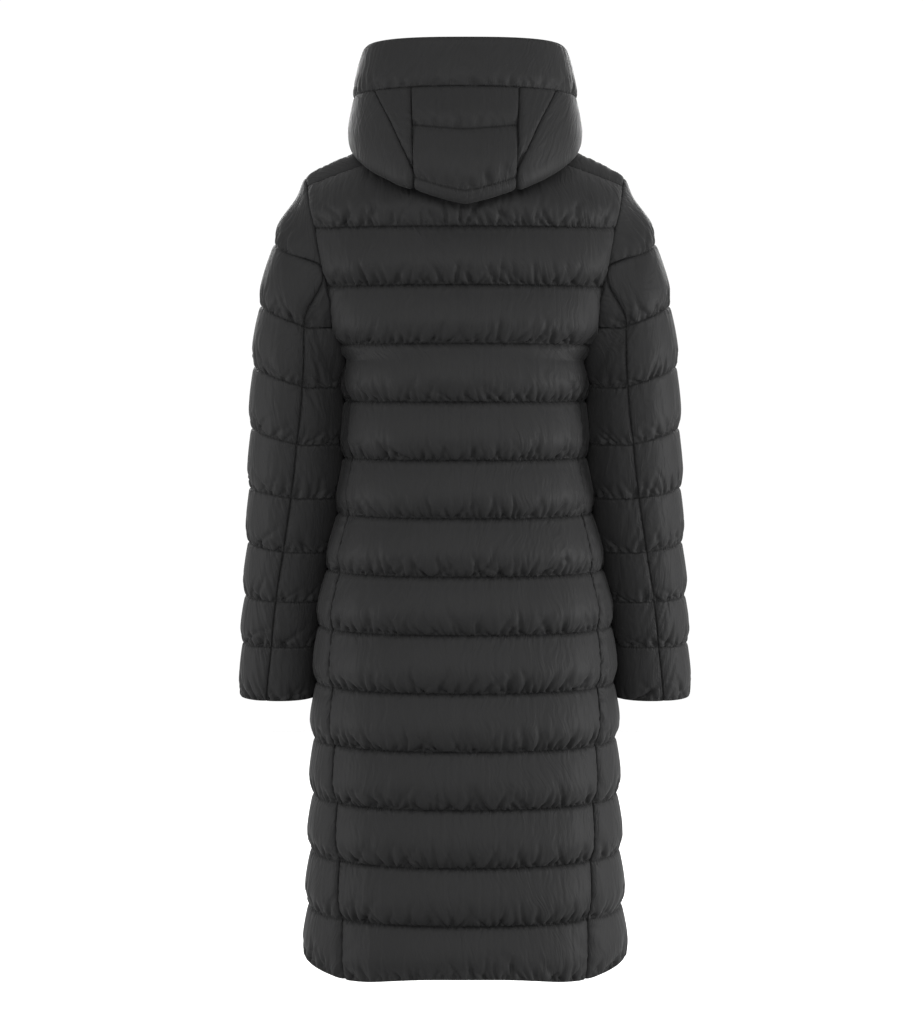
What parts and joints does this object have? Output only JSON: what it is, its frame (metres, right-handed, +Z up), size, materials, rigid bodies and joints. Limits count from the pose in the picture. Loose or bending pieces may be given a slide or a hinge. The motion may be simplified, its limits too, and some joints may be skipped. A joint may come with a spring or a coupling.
{
  "type": "long puffer coat",
  "caption": "Long hooded puffer coat, worn and hollow, with quilted channels, set-in sleeves, a laid-back hood and a front zip with a swinging pull.",
  "frame": {"origin": "base of the neck, between the tops of the shoulders, where the coat hangs from its wearer", "axes": "+Z up, the front faces -Y, the wearer's left is +X"},
  "size_m": [0.6016, 0.3072, 1.1734],
  "materials": {
    "shell": "soft sheen, woven",
    "zip_tape": "matte, woven",
    "zip_metal": "satin black"
  },
  "bodies": {
    "coat": {"back_panel": "shell", "side_panel_left": "shell", "side_panel_right": "shell", "front_left": "shell", "front_right": "shell", "sleeve_top_left": "shell", "sleeve_top_right": "shell", "sleeve_under_left": "shell", "sleeve_under_right": "shell", "hood_centre": "shell", "hood_gusset_left": "shell", "hood_gusset_right": "shell", "hood_side_left": "shell", "hood_side_right": "shell", "hood_brim": "shell", "zip_tape_left": "zip_tape", "zip_tape_right": "zip_tape", "zip_slider": "zip_metal"},
    "pull": {"zip_pull": "zip_metal"}
  },
  "joints": [
    {"name": "pull_swing", "type": "hinge", "parent": "coat", "child": "pull", "pos_m": [0, -0.10959, -0.07612], "axis": [-1, 0, 0], "range_deg": [0, 150]}
  ]
}
